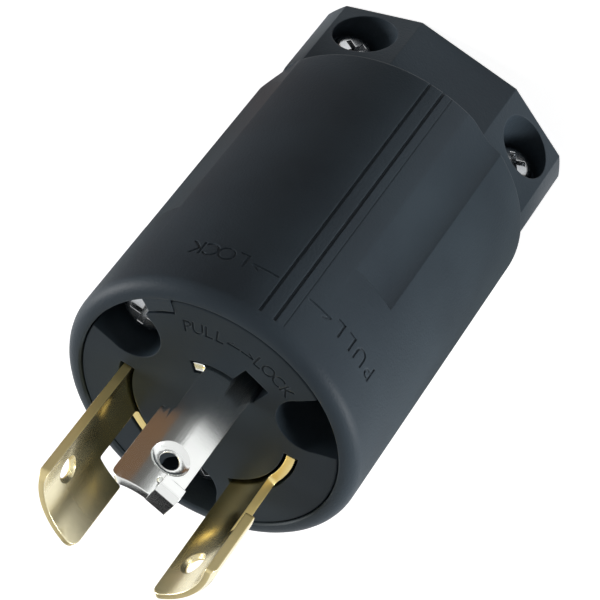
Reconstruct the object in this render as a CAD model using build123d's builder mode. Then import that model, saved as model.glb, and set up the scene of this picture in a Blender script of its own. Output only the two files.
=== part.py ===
from build123d import *
import os
from dataclasses import dataclass
from math import atan, cos, degrees, radians, sin, tan

os.makedirs("parts", exist_ok=True)

# Frame of the plug
# It stands on its cord end with its blades up: Z is the plug's axis, and z = 0 is the end
# face where the cord enters. The ribbed top side faces -Y. Turns are in degrees from the
# top side, counter-clockwise as seen from the blades. Lengths are in millimetres.

# Housing
barrel_radius = 19.3
barrel_length = 46.2
tail_length = 12.4
rim_round = 1.9
step_round = 0.4
bore_radius = 17.0
bore_ledge = 0.7
cavity_floor = 2.1

# Faceted tail
facet_half_width = 7.2
facet_height = 14.85
facet_slope = 29.5
tail_half_width = 17.9
tail_inset = 0.2
tail_chamfer = 0.4
end_wall = 2.2
cord_bore_radius = 7.0
cord_channel_radius = 6.5

# Finger grips: two scallops, each from its gentle edge to its steep edge, and two flats
scallop_depth = 0.5
scallop_place = 0.65
scallop_turns = [(-13.0, -32.5), (167.0, 147.5)]
flat_turns = [(97.0, 60.0), (277.0, 240.0)]
grip_front = 15.3

# Rib on the top side, between two grooves
rib_turns = (-1.2, 4.6)
groove_width = 0.35
groove_depth = 0.4

# Insert with the face
insert_gap = 0.15
face_inset = 0.2
insert_thickness = 9.0
face_chamfer = 0.3
slot_clearance = 0.35

# Key of the cover in its notch of the insert
key_turns = (38.5, 51.5)
key_thickness = 1.7
key_height = 3.0
key_gap = 0.45
notch_end_turn = 53.5

# Assembly screws
assembly_turns = (70.5, -169.5, -49.5)
recess_gap = 0.45
recess_depth = 6.1
recess_run = 8.0
recess_flare = 1.5
assembly_head_radius = 3.45
assembly_head_height = 2.4
assembly_head_gap = 0.15
assembly_shank_radius = 1.95
assembly_reach = 9.4
screw_clearance = 0.25
boss_wall = 0.8
bush_radius = 2.7
bush_length = 8.0

# Terminal carrier
carrier_gap = 0.4
carrier_length = 14.0
carrier_plate = 3.0
pocket_side_gap = 0.8
pocket_reach = 3.5

# Blades
blade_thickness = 1.2
blade_height = 19.2
blade_step_inset = 0.3
neck_round = 0.6
tip_bevel = 0.5
blade_hole_radius = 1.2
outer_dish_radius = 2.15
outer_dish_depth = 0.6
inner_dish_radius = 1.7
inner_dish_depth = 0.35
shoulder_turn = 5.0
shoulder_height = 1.5
tail_blade_width = 6.6
tail_blade_length = 12.0
terminal_depth = 7.8

# Terminal screws and clamp plates
terminal_head_radius = 3.3
terminal_head_height = 2.0
terminal_shank_radius = 1.95
terminal_shank_length = 5.4
clamp_plate_width = 7.4
clamp_plate_thickness = 1.2
contact_gap = 0.05

# Tab bent inwards at the tip of the earth blade
tab_turn = -9.0
tab_shift = -1.2
tab_width = 2.7
tab_reach = 3.5
tab_bend = 1.0
tab_drop = 1.6
tab_relief_turn = -2.0

# Opening beside the earth blade
window_turn = -14.5
window_inner = 7.4
window_outer = 10.7
window_width = 3.7

# Cord clamp
clamp_screw_offset = 12.2
clamp_screw_height = 4.9
clamp_counterbore_gap = 0.8
clamp_seat = 6.6
clamp_head_radius = 2.9
clamp_head_height = 2.1
clamp_shank_radius = 1.75
clamp_hole_clearance = 0.2
chamber_ceiling = 4.3
chamber_floor = -8.6
chamber_half_width = 15.4
saddle_top = -2.6
saddle_thickness = 3.0
saddle_gap = 0.4
saddle_width = 5.2
saddle_hollow_radius = 9.0
saddle_hollow_depth = 1.6
nut_width = 5.2
nut_thickness = 2.4

# Heights that follow from the sizes above
rim_height = tail_length + barrel_length
face_height = rim_height - face_inset
ledge_height = face_height - insert_thickness
carrier_bottom = ledge_height - carrier_length
floor_height = tail_length + cavity_floor
insert_radius = bore_radius - insert_gap
cavity_radius = bore_radius - bore_ledge
carrier_radius = cavity_radius - carrier_gap
key_inner_radius = bore_radius - key_thickness
tail_corner_radius = barrel_radius - tail_inset
assembly_radius = bore_radius - assembly_head_radius - assembly_head_gap
assembly_tip_height = carrier_bottom - assembly_reach
recess_radius = assembly_head_radius + recess_gap
recess_mouth_half_width = recess_radius + recess_flare
boss_radius = bush_radius + boss_wall
tail_blade_bottom = ledge_height - tail_blade_length
terminal_height = ledge_height - terminal_depth
pocket_width = clamp_plate_width + 2 * pocket_side_gap
clamp_counterbore_radius = clamp_head_radius + clamp_counterbore_gap
saddle_half_width = chamber_half_width - saddle_gap
clamp_shank_length = clamp_seat - saddle_top + saddle_thickness + nut_thickness + 0.3
tail_side_height = facet_height - (tail_half_width - facet_half_width) * tan(radians(facet_slope))


@dataclass
class Blade:
    """A blade: its inner radius, its turns from its plain edge to its hook, and its heights."""

    name: str
    inner: float
    first: float
    neck: float
    last: float
    tail: float
    hook_rear: float
    hole_height: float
    plain_round: float
    hook_round: float

    @property
    def outer(self):
        return self.inner + blade_thickness


line_blade_1 = Blade("line_blade_1", 10.4, 98.0, 136.0, 161.0, 118.0, 8.3, 14.1, 1.2, 1.5)
line_blade_2 = Blade("line_blade_2", 10.4, -140.5, -107.0, -78.0, -123.5, 9.4, 14.0, 1.2, 0.4)
earth_blade = Blade("earth_blade", 6.6, -25.0, 23.5, 36.0, 0.0, 7.2, 13.5, 0.4, 1.0)
blades = (line_blade_1, line_blade_2, earth_blade)


def at(turn):
    """Angle about Z of a turn from the top side."""
    return turn - 90


def spot(turn, radius, height=0.0):
    """Point at a turn, a radius and a height."""
    return (radius * cos(radians(at(turn))), radius * sin(radians(at(turn))), height)


def level(turn, radius, height):
    """Plane square to the plug's axis, its x direction pointing outwards."""
    return Plane(origin=spot(turn, radius, height), x_dir=spot(turn, 1), z_dir=(0, 0, 1))


def spoke(turn, radius, height):
    """Plane square to a spoke, its normal pointing outwards and its y direction up."""
    return Plane(origin=spot(turn, radius, height), x_dir=spot(turn + 90, 1), z_dir=spot(turn, 1))


def ring_sector(inner, outer, first, last):
    """Flat ring sector about the plug's axis, between two turns."""
    with BuildSketch(mode=Mode.PRIVATE) as sector:
        with BuildLine():
            near = CenterArc((0, 0), inner, at(first), last - first)
            far = CenterArc((0, 0), outer, at(first), last - first)
            Line(near @ 0, far @ 0)
            Line(near @ 1, far @ 1)
        make_face()
    return sector.sketch


def grip_section(start_turn, end_turn, depth):
    """Section of a finger grip between two turns: a flat, or a scallop deepest near its end."""
    outside = barrel_radius + 3.0
    start = Vector(spot(start_turn, barrel_radius))
    end = Vector(spot(end_turn, barrel_radius))
    inwards = -(start + end).normalized()
    with BuildSketch(mode=Mode.PRIVATE) as section:
        with BuildLine():
            if depth:
                Spline(start, start + (end - start) * scallop_place + inwards * depth, end)
            else:
                Line(start, end)
            Polyline(end, spot(end_turn, outside), spot(start_turn, outside), start)
        make_face()
    return section.sketch


def faceted_tail():
    """Tail with flats on its top, bottom, slants and sides."""
    with BuildPart(mode=Mode.PRIVATE) as tail:
        with BuildSketch():
            Circle(tail_corner_radius)
            with BuildLine():
                Polyline(
                    (-tail_half_width, tail_side_height),
                    (-facet_half_width, facet_height),
                    (facet_half_width, facet_height),
                    (tail_half_width, tail_side_height),
                    (tail_half_width, -tail_side_height),
                    (facet_half_width, -facet_height),
                    (-facet_half_width, -facet_height),
                    (-tail_half_width, -tail_side_height),
                    close=True,
                )
            make_face(mode=Mode.INTERSECT)
        extrude(amount=tail_length)
        chamfer(tail.edges().group_by(Axis.Z)[0], tail_chamfer)
    return tail.part


def pan_screw(seat, head_radius, head_height, shank_radius, shank_length):
    """Pan-head screw with a cross recess, its head on the normal side of the seat plane."""
    recess_reach = head_radius * 0.55
    recess_slot = head_radius * 0.2
    with BuildPart(mode=Mode.PRIVATE) as screw:
        with BuildSketch():
            Circle(head_radius)
        extrude(amount=head_height)
        fillet(screw.edges().group_by(Axis.Z)[-1], head_height * 0.55)
        with BuildSketch(Plane.XY.offset(head_height)):
            Rectangle(2 * recess_reach, 2 * recess_slot)
            Rectangle(2 * recess_slot, 2 * recess_reach)
        extrude(amount=-head_height * 0.7, taper=8, mode=Mode.SUBTRACT)
        with BuildSketch():
            Circle(shank_radius)
        extrude(amount=-shank_length)
    return seat.location * screw.part


# Cover
with BuildPart() as cover:
    with BuildSketch(Plane.XY.offset(tail_length)):
        Circle(barrel_radius)
    extrude(amount=barrel_length)
    fillet(cover.edges().group_by(Axis.Z)[-1], rim_round)
    fillet(cover.edges().group_by(Axis.Z)[0], step_round)

    # Finger grips run out at the rear step
    with BuildSketch(Plane.XY.offset(tail_length)):
        for start_turn, end_turn in scallop_turns:
            add(grip_section(start_turn, end_turn, scallop_depth))
        for start_turn, end_turn in flat_turns:
            add(grip_section(start_turn, end_turn, 0))
    extrude(amount=barrel_length - grip_front, mode=Mode.SUBTRACT)

    # Grooves each side of the rib
    with BuildSketch(Plane.XY.offset(tail_length)):
        half_groove = degrees(groove_width / 2 / barrel_radius)
        groove_floor = barrel_radius - groove_depth
        for turn in rib_turns:
            add(ring_sector(groove_floor, barrel_radius + 1, turn - half_groove, turn + half_groove))
    extrude(amount=barrel_length - rim_round, mode=Mode.SUBTRACT)

    add(faceted_tail())

    # Mouth for the insert, wiring cavity and clamp chamber
    with BuildSketch(Plane.XY.offset(ledge_height)):
        Circle(bore_radius)
    extrude(amount=rim_height - ledge_height, mode=Mode.SUBTRACT)
    with BuildSketch(Plane.XY.offset(floor_height)):
        Circle(cavity_radius)
    extrude(amount=ledge_height - floor_height, mode=Mode.SUBTRACT)
    with BuildSketch(Plane.XY.offset(end_wall)):
        with Locations((0, -(chamber_ceiling + chamber_floor) / 2)):
            Rectangle(2 * chamber_half_width, chamber_ceiling - chamber_floor)
    extrude(amount=floor_height - end_wall, mode=Mode.SUBTRACT)
    with BuildSketch():
        Circle(cord_bore_radius)
    extrude(amount=end_wall, mode=Mode.SUBTRACT)
    with BuildSketch():
        Circle(cord_channel_radius)
    extrude(amount=floor_height, mode=Mode.SUBTRACT)

    # Bosses for the assembly screws, fused with the wall
    with BuildSketch(Plane.XY.offset(floor_height - cavity_floor / 2)):
        for turn in assembly_turns:
            with Locations(spot(turn, assembly_radius)[:2]):
                Circle(boss_radius)
    extrude(amount=carrier_bottom - floor_height + cavity_floor / 2)
    with BuildSketch(Plane.XY.offset(carrier_bottom)):
        for turn in assembly_turns:
            with Locations(spot(turn, assembly_radius)[:2]):
                Circle(bush_radius)
    extrude(amount=-bush_length, mode=Mode.SUBTRACT)
    with BuildSketch(Plane.XY.offset(carrier_bottom)):
        for turn in assembly_turns:
            with Locations(spot(turn, assembly_radius)[:2]):
                Circle(assembly_shank_radius + screw_clearance)
    extrude(amount=assembly_tip_height - carrier_bottom - 1.0, mode=Mode.SUBTRACT)

    # Key that turns the insert with the cover
    with BuildSketch(Plane.XY.offset(rim_height - key_height)):
        add(ring_sector(key_inner_radius, bore_radius + 0.3, *key_turns))
    extrude(amount=key_height)

    # Counterbores and holes for the clamp screws, from the slanted facets
    for side in (-1, 1):
        seat_plane = Plane(
            origin=(side * clamp_screw_offset, -clamp_seat, clamp_screw_height),
            x_dir=(1, 0, 0),
            z_dir=(0, -1, 0),
        )
        with BuildSketch(seat_plane):
            Circle(clamp_counterbore_radius)
        extrude(amount=barrel_radius, mode=Mode.SUBTRACT)
        with BuildSketch(seat_plane):
            Circle(clamp_shank_radius + clamp_hole_clearance)
        extrude(amount=chamber_ceiling - clamp_seat, mode=Mode.SUBTRACT)

cover.part.label = "cover"
export_step(cover.part, "parts/cover.step")


# Insert
with BuildPart() as insert:
    with BuildSketch(Plane.XY.offset(ledge_height)):
        Circle(insert_radius)
    extrude(amount=insert_thickness)
    chamfer(insert.edges().group_by(Axis.Z)[-1], face_chamfer)

    # Slots as wide as the hooked blades
    for blade in blades:
        side_gap = degrees(slot_clearance / blade.outer)
        with BuildSketch(Plane.XY.offset(ledge_height)):
            add(
                ring_sector(
                    blade.inner - slot_clearance,
                    blade.outer + slot_clearance,
                    blade.first - side_gap,
                    blade.last + side_gap,
                )
            )
        extrude(amount=insert_thickness, mode=Mode.SUBTRACT)

    # Window beside the earth blade
    with BuildSketch(level(window_turn, (window_inner + window_outer) / 2, ledge_height)):
        Rectangle(window_outer - window_inner, window_width)
    extrude(amount=insert_thickness, mode=Mode.SUBTRACT)

    # Recesses for the screw heads, open to the rim
    for turn in assembly_turns:
        through = turn == assembly_turns[-1]
        depth = insert_thickness if through else recess_depth
        with BuildSketch(level(turn, assembly_radius, face_height)):
            Circle(recess_radius)
            with BuildLine():
                Polyline(
                    (0, -recess_radius),
                    (recess_run, -recess_mouth_half_width),
                    (recess_run, recess_mouth_half_width),
                    (0, recess_radius),
                    close=True,
                )
            make_face()
        extrude(amount=-depth, mode=Mode.SUBTRACT)
        with BuildSketch(level(turn, assembly_radius, face_height)):
            Circle(assembly_shank_radius + screw_clearance)
        extrude(amount=-insert_thickness, mode=Mode.SUBTRACT)

    # Notch for the key
    with BuildSketch(Plane.XY.offset(face_height)):
        add(ring_sector(key_inner_radius - key_gap, barrel_radius, key_turns[0] - 0.3, notch_end_turn + 4))
    extrude(amount=-(key_height + key_gap - face_inset), mode=Mode.SUBTRACT)

insert.part.label = "insert"
export_step(insert.part, "parts/insert.step")


# Terminal carrier
with BuildPart() as carrier:
    with BuildSketch(Plane.XY.offset(carrier_bottom)):
        Circle(carrier_radius)
    extrude(amount=carrier_length)
    for blade in blades:
        side_gap = degrees(slot_clearance / blade.outer)
        tail_half = degrees(tail_blade_width / 2 / (blade.inner + blade_thickness / 2)) + side_gap
        near = blade.inner - slot_clearance
        far = blade.outer + slot_clearance
        # Seat of the blade's shoulder, and the way of its tail
        with BuildSketch(Plane.XY.offset(ledge_height)):
            add(
                ring_sector(
                    near,
                    far,
                    blade.first - shoulder_turn - side_gap,
                    blade.last + shoulder_turn + side_gap,
                )
            )
        extrude(amount=-shoulder_height, mode=Mode.SUBTRACT)
        with BuildSketch(Plane.XY.offset(ledge_height)):
            add(ring_sector(near, far, blade.tail - tail_half, blade.tail + tail_half))
        extrude(amount=-carrier_plate, mode=Mode.SUBTRACT)
        # Wiring pocket, open outwards and to the rear
        pocket_start = blade.inner - pocket_reach
        pocket_length = carrier_radius + 1 - pocket_start
        with BuildSketch(level(blade.tail, pocket_start + pocket_length / 2, carrier_bottom)):
            Rectangle(pocket_length, pocket_width)
        extrude(amount=carrier_length - carrier_plate, mode=Mode.SUBTRACT)
    for turn in assembly_turns:
        with BuildSketch(level(turn, assembly_radius, carrier_bottom)):
            Circle(assembly_shank_radius + screw_clearance)
        extrude(amount=carrier_length, mode=Mode.SUBTRACT)

carrier.part.label = "terminal_carrier"
export_step(carrier.part, "parts/terminal_carrier.step")


def sector_block(blade, first, last, bottom, top):
    """Stretch of a blade between two turns and two heights."""
    with BuildPart(mode=Mode.PRIVATE) as block:
        with BuildSketch(Plane.XY.offset(bottom)):
            add(ring_sector(blade.inner, blade.outer, first, last))
        extrude(amount=top - bottom)
    return block.part


def blade_edge(solid, turn, radius, height):
    """Short straight edge across a blade's thickness, nearest to a place on it."""
    return solid.edges().filter_by(GeomType.LINE).sort_by_distance(spot(turn, radius, height))[0]


# Blades
tip_height = rim_height + blade_height
step_height = rim_height - blade_step_inset
for blade in blades:
    middle = blade.inner + blade_thickness / 2
    tail_half = degrees(tail_blade_width / 2 / middle)
    with BuildPart() as blade_part:
        add(sector_block(blade, blade.first, blade.neck, ledge_height, tip_height))
        add(sector_block(blade, blade.neck, blade.last, ledge_height, step_height))
        add(sector_block(blade, blade.neck, blade.last, rim_height + blade.hook_rear, tip_height))
        fillet(blade_edge(blade_part, blade.neck, middle, step_height), neck_round)
        fillet(blade_edge(blade_part, blade.last, middle, tip_height), blade.hook_round)
        if blade is earth_blade:
            # The stretch under the tab stops at the bend, and the tab turns inwards
            tab_top = tip_height - tab_drop
            with BuildSketch(Plane.XY.offset(tab_top - tab_bend)):
                add(ring_sector(blade.inner - 1, blade.outer + 1, blade.first - 5, tab_relief_turn))
            extrude(amount=tab_drop + tab_bend, mode=Mode.SUBTRACT)
            across = spot(tab_turn + 90, tab_shift)
            root = spot(tab_turn, blade.outer, tab_top)
            tab_plane = Plane(
                origin=(root[0] + across[0], root[1] + across[1], tab_top),
                x_dir=spot(tab_turn, 1),
                z_dir=spot(tab_turn - 90, 1),
            )
            with BuildSketch(tab_plane):
                with BuildLine():
                    bend = CenterArc((-tab_bend, -tab_bend), tab_bend, 0, 90)
                    Polyline(
                        bend @ 1,
                        (-tab_reach, 0),
                        (-tab_reach, -blade_thickness),
                        (-blade_thickness, -blade_thickness),
                        (-blade_thickness, -2 * tab_bend),
                        (0, -2 * tab_bend),
                        bend @ 0,
                    )
                make_face()
            extrude(amount=tab_width / 2, both=True)
        else:
            # Rounded corner, and a bevel that leads the tip into the socket
            fillet(blade_edge(blade_part, blade.first, middle, tip_height), blade.plain_round)
            with BuildSketch(Plane.XZ):
                with BuildLine():
                    Polyline(
                        (blade.outer - tip_bevel, tip_height),
                        (blade.outer + tip_bevel, tip_height),
                        (blade.outer + tip_bevel, tip_height - 2 * tip_bevel),
                        close=True,
                    )
                make_face()
            revolve(axis=Axis.Z, mode=Mode.SUBTRACT)

        # Shoulder behind the insert and tail with its tapped hole
        add(
            sector_block(
                blade,
                blade.first - shoulder_turn,
                blade.last + shoulder_turn,
                ledge_height - shoulder_height,
                ledge_height,
            )
        )
        tail_first = blade.tail - tail_half
        tail_last = blade.tail + tail_half
        add(sector_block(blade, tail_first, tail_last, tail_blade_bottom, ledge_height))
        with BuildSketch(spoke(blade.tail, blade.inner - 1, terminal_height)):
            Circle(terminal_shank_radius + contact_gap)
        extrude(amount=blade_thickness + 3, mode=Mode.SUBTRACT)

        # Hole near the tip, dished from both sides
        hole_height = rim_height + blade.hole_height
        with BuildSketch(spoke(blade.tail, blade.inner - 1, hole_height)):
            Circle(blade_hole_radius)
        extrude(amount=blade_thickness + 3, mode=Mode.SUBTRACT)
        for radius, depth, start in (
            (outer_dish_radius, -outer_dish_depth, blade.outer),
            (inner_dish_radius, inner_dish_depth, blade.inner * cos(inner_dish_radius / blade.inner)),
        ):
            slope = degrees(atan((radius - blade_hole_radius) / abs(depth)))
            with BuildSketch(spoke(blade.tail, start, hole_height)):
                Circle(radius)
            extrude(amount=depth, taper=slope, mode=Mode.SUBTRACT)
    blade_part.part.label = blade.name
    export_step(blade_part.part, f"parts/{blade.name}.step")


# Terminal screws and their clamp plates
for number, blade in enumerate(blades, start=1):
    plate_start = blade.outer + contact_gap
    with BuildPart() as terminal_clamp:
        with BuildSketch(spoke(blade.tail, plate_start, terminal_height)):
            RectangleRounded(clamp_plate_width, clamp_plate_width, 0.8)
            Circle(terminal_shank_radius + contact_gap, mode=Mode.SUBTRACT)
        extrude(amount=clamp_plate_thickness)
    terminal_clamp.part.label = f"terminal_clamp_{number}"
    export_step(terminal_clamp.part, f"parts/terminal_clamp_{number}.step")

    with BuildPart() as terminal_screw:
        add(
            pan_screw(
                spoke(blade.tail, plate_start + clamp_plate_thickness, terminal_height),
                terminal_head_radius,
                terminal_head_height,
                terminal_shank_radius,
                terminal_shank_length,
            )
        )
    terminal_screw.part.label = f"terminal_screw_{number}"
    export_step(terminal_screw.part, f"parts/terminal_screw_{number}.step")


# Assembly screws and the threaded bushes that take them
for number, turn in enumerate(assembly_turns, start=1):
    seat_height = ledge_height if turn == assembly_turns[-1] else face_height - recess_depth
    with BuildPart() as assembly_screw:
        add(
            pan_screw(
                level(turn, assembly_radius, seat_height),
                assembly_head_radius,
                assembly_head_height,
                assembly_shank_radius,
                seat_height - assembly_tip_height,
            )
        )
    assembly_screw.part.label = f"assembly_screw_{number}"
    export_step(assembly_screw.part, f"parts/assembly_screw_{number}.step")

    with BuildPart() as threaded_bush:
        with BuildSketch(level(turn, assembly_radius, carrier_bottom)):
            Circle(bush_radius)
            Circle(assembly_shank_radius + contact_gap, mode=Mode.SUBTRACT)
        extrude(amount=-bush_length)
    threaded_bush.part.label = f"threaded_bush_{number}"
    export_step(threaded_bush.part, f"parts/threaded_bush_{number}.step")


# Cord clamp: saddle, screws and square nuts
with BuildPart() as cord_saddle:
    with BuildSketch(Plane.XY.offset(clamp_screw_height - saddle_width / 2)):
        with Locations((0, -(saddle_top - saddle_thickness / 2))):
            Rectangle(2 * saddle_half_width, saddle_thickness)
        with Locations((0, -(saddle_top - saddle_hollow_depth + saddle_hollow_radius))):
            Circle(saddle_hollow_radius, mode=Mode.SUBTRACT)
    extrude(amount=saddle_width)
    for side in (-1, 1):
        screw_plane = Plane(
            origin=(side * clamp_screw_offset, 0, clamp_screw_height),
            x_dir=(1, 0, 0),
            z_dir=(0, 1, 0),
        )
        with BuildSketch(screw_plane):
            Circle(clamp_shank_radius + clamp_hole_clearance)
        extrude(amount=barrel_radius, mode=Mode.SUBTRACT)
cord_saddle.part.label = "cord_saddle"
export_step(cord_saddle.part, "parts/cord_saddle.step")

for number, side in enumerate((-1, 1), start=1):
    with BuildPart() as clamp_screw:
        add(
            pan_screw(
                Plane(
                    origin=(side * clamp_screw_offset, -clamp_seat, clamp_screw_height),
                    x_dir=(1, 0, 0),
                    z_dir=(0, -1, 0),
                ),
                clamp_head_radius,
                clamp_head_height,
                clamp_shank_radius,
                clamp_shank_length,
            )
        )
    clamp_screw.part.label = f"clamp_screw_{number}"
    export_step(clamp_screw.part, f"parts/clamp_screw_{number}.step")

    with BuildPart() as clamp_nut:
        nut_plane = Plane(
            origin=(side * clamp_screw_offset, -(saddle_top - saddle_thickness), clamp_screw_height),
            x_dir=(1, 0, 0),
            z_dir=(0, 1, 0),
        )
        with BuildSketch(nut_plane):
            Rectangle(nut_width, nut_width)
            Circle(clamp_shank_radius + contact_gap, mode=Mode.SUBTRACT)
        extrude(amount=nut_thickness)
    clamp_nut.part.label = f"clamp_nut_{number}"
    export_step(clamp_nut.part, f"parts/clamp_nut_{number}.step")
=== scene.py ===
# %% [markdown]
# A locking power plug stands on its cord end, with two hooked brass blades and one plated
# earth blade up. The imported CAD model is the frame: it says where every piece is and how large
# it is. This script loads it first, and then builds each visible piece again with smoother
# curves, rounded edges and a finish. The pieces inside stay as the CAD made them.

# %% The frame
from math import cos, degrees, pi, radians, sin

import bmesh
import bpy
from mathutils import Matrix, Vector


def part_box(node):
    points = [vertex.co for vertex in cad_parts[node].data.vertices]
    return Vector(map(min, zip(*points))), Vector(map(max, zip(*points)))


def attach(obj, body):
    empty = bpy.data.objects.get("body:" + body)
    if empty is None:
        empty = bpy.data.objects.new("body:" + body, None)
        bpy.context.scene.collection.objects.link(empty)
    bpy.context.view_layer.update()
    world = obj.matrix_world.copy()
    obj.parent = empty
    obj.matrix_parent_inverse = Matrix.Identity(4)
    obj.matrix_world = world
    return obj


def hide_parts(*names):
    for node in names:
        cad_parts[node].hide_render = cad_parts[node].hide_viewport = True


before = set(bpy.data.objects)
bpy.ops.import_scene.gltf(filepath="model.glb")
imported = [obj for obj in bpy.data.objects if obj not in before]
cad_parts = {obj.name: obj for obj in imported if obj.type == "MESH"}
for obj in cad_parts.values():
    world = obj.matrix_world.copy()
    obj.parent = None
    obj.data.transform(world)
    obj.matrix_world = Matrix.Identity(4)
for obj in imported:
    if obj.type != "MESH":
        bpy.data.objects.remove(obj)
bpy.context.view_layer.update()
print("nodes:", len(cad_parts))

# %% [markdown]
# Blender works in metres, but a plug is easier to think of in millimetres. Every piece is
# modelled in millimetres and scaled down once, when it is finished. The sizes that other
# pieces are worked out from are read off the frame.

# %% Sizes
MM = 0.001


def cad_size(node):
    """Lowest and highest corner of a CAD node, in millimetres."""
    low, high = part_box(node)
    return low / MM, high / MM


cover_high = cad_size("cover")[1]
insert_low, insert_high = cad_size("insert")
BARREL_RADIUS = cover_high.x
RIM = cover_high.z
FACE = insert_high.z
LEDGE = insert_low.z
STEP = 12.4
BORE_RADIUS = 17.0
INSERT_RADIUS = insert_high.y
print("rim", round(RIM, 2), "face", round(FACE, 2), "barrel", round(BARREL_RADIUS, 2))

# %% [markdown]
# Places round the plug are given as a turn from the ribbed top side, counter-clockwise as seen
# from the blades. Three helpers turn that into a point or into a frame to build in, so that no
# piece has to be measured by hand. A fourth one makes a rotation from degrees.


# %% Places round the axis
def rotation(angle, axis):
    """Rotation by an angle in degrees about an axis."""
    return Matrix.Rotation(radians(angle), 4, axis)


def spot(turn, radius, height=0.0):
    """Point at a turn, a radius and a height."""
    angle = radians(turn - 90)
    return Vector((radius * cos(angle), radius * sin(angle), height))


def upright(turn, radius, height):
    """Frame whose Z points up and whose X points outwards at a turn."""
    return Matrix.Translation(spot(turn, radius, height)) @ rotation(turn - 90, "Z")


def facing(turn, radius, height):
    """Frame whose Z points outwards at a turn, with X along the turn and Y up."""
    return upright(turn, radius, height) @ rotation(90, "Z") @ rotation(90, "X")


print("a quarter turn from the top:", [round(x, 1) for x in spot(90, BARREL_RADIUS)])

# %% [markdown]
# Most of a plug is turned or extruded: the barrel, the screws, the recesses. So there are three
# ways to start a shape: spin an outline about the axis, sweep a rectangle through part of a
# turn, or raise a flat outline. Corners are rounded on the outline, before it becomes a solid,
# where a bevel is cheap and exact.

# %% Three ways to start a shape
STEPS = 240
MERGE = 0.0004


def close_shape(mesh):
    """Merges doubled corners and turns the faces outwards."""
    bmesh.ops.remove_doubles(mesh, verts=mesh.verts, dist=MERGE)
    bmesh.ops.dissolve_degenerate(mesh, edges=mesh.edges, dist=MERGE)
    bmesh.ops.recalc_face_normals(mesh, faces=mesh.faces)
    return mesh


def round_corner(mesh, corner, radius):
    """Rounds one corner of an outline."""
    bmesh.ops.bevel(
        mesh,
        geom=[corner],
        offset=radius,
        offset_type="OFFSET",
        segments=8,
        profile=0.5,
        affect="VERTICES",
        material=-1,
    )


def turned(outline, rounds=(), steps=STEPS):
    """Solid of revolution from a closed outline of radii and heights."""
    mesh = bmesh.new()
    corners = [mesh.verts.new((radius, 0, height)) for radius, height in outline]
    for one, other in zip(corners, corners[1:] + corners[:1]):
        if one.co.x > 0 or other.co.x > 0:
            mesh.edges.new((one, other))
    for index, radius in rounds:
        round_corner(mesh, corners[index], radius)
    bmesh.ops.spin(
        mesh,
        geom=mesh.verts[:] + mesh.edges[:],
        cent=(0, 0, 0),
        axis=(0, 0, 1),
        angle=2 * pi,
        steps=steps,
        use_merge=True,
    )
    return close_shape(mesh)


def ring_block(inner, outer, first, last, bottom, top):
    """Part of a ring between two turns."""
    mesh = bmesh.new()
    ends = ((inner, bottom), (outer, bottom), (outer, top), (inner, top))
    corners = [mesh.verts.new(spot(first, radius, height)) for radius, height in ends]
    edges = [mesh.edges.new((corners[i - 1], corners[i])) for i in range(4)]
    bmesh.ops.spin(
        mesh,
        geom=corners + edges,
        cent=(0, 0, 0),
        axis=(0, 0, 1),
        angle=radians(last - first),
        steps=max(2, round((last - first) / 1.5)),
    )
    bmesh.ops.holes_fill(mesh, edges=[e for e in mesh.edges if e.is_boundary])
    return close_shape(mesh)


def oblong(left, right, rear, front):
    """Outline of a rectangle."""
    return ((left, rear), (right, rear), (right, front), (left, front))


def raised(outline, bottom, top, rounds=()):
    """Prism from a flat outline of points, standing between two heights."""
    mesh = bmesh.new()
    corners = [mesh.verts.new((x, y, bottom)) for x, y in outline]
    mesh.faces.new(corners)
    for index, radius in rounds:
        round_corner(mesh, corners[index], radius)
    face = bmesh.ops.extrude_face_region(mesh, geom=mesh.faces[:])
    lifted = [v for v in face["geom"] if isinstance(v, bmesh.types.BMVert)]
    bmesh.ops.translate(mesh, verts=lifted, vec=(0, 0, top - bottom))
    return close_shape(mesh)


def round_bar(radius, bottom, top, steps=64):
    """Plain cylinder about the axis."""
    return turned(((0, bottom), (radius, bottom), (radius, top), (0, top)), steps=steps)


print("a full turn has", STEPS, "steps")

# %% [markdown]
# Real moulds and punches take material away or add it, and a Boolean does the same. All of the
# shapes here are closed, so the quick manifold solver can be used. The helper works on two
# bmeshes and gives one back, so that the steps of a piece read in the order in which a
# toolmaker would cut them.


# %% Cut and join
def to_object(mesh, name):
    """Object that holds a bmesh, which is freed."""
    data = bpy.data.meshes.new(name)
    mesh.to_mesh(data)
    mesh.free()
    made = bpy.data.objects.new(name, data)
    bpy.context.scene.collection.objects.link(made)
    return made


def combine(piece, tool, operation):
    """One bmesh from two closed ones, by a Boolean."""
    body, cutter = to_object(piece, "body"), to_object(tool, "cutter")
    step = body.modifiers.new("step", "BOOLEAN")
    step.operation = operation
    step.solver = "MANIFOLD"
    step.object = cutter
    bpy.context.view_layer.update()
    result = bmesh.new()
    result.from_object(body, bpy.context.evaluated_depsgraph_get())
    for used in (body, cutter):
        data = used.data
        bpy.data.objects.remove(used)
        bpy.data.meshes.remove(data)
    return result


def cut(piece, *tools):
    """Cuts each tool out of the piece."""
    for tool in tools:
        piece = combine(piece, tool, "DIFFERENCE")
    return piece


def join(piece, *others):
    """Joins the others to the piece."""
    for other in others:
        piece = combine(piece, other, "UNION")
    return piece


def placed(mesh, matrix):
    """Moves a bmesh into a frame."""
    bmesh.ops.transform(mesh, matrix=matrix, verts=mesh.verts)
    return mesh


# %% [markdown]
# A finished piece is scaled to metres, shaded smooth with sharp edges kept, and hung on the
# plug's body. Weighted normals keep the large flats flat beside a rounded edge.


# %% Finish a piece
SHARP_ANGLE = 28


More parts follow.
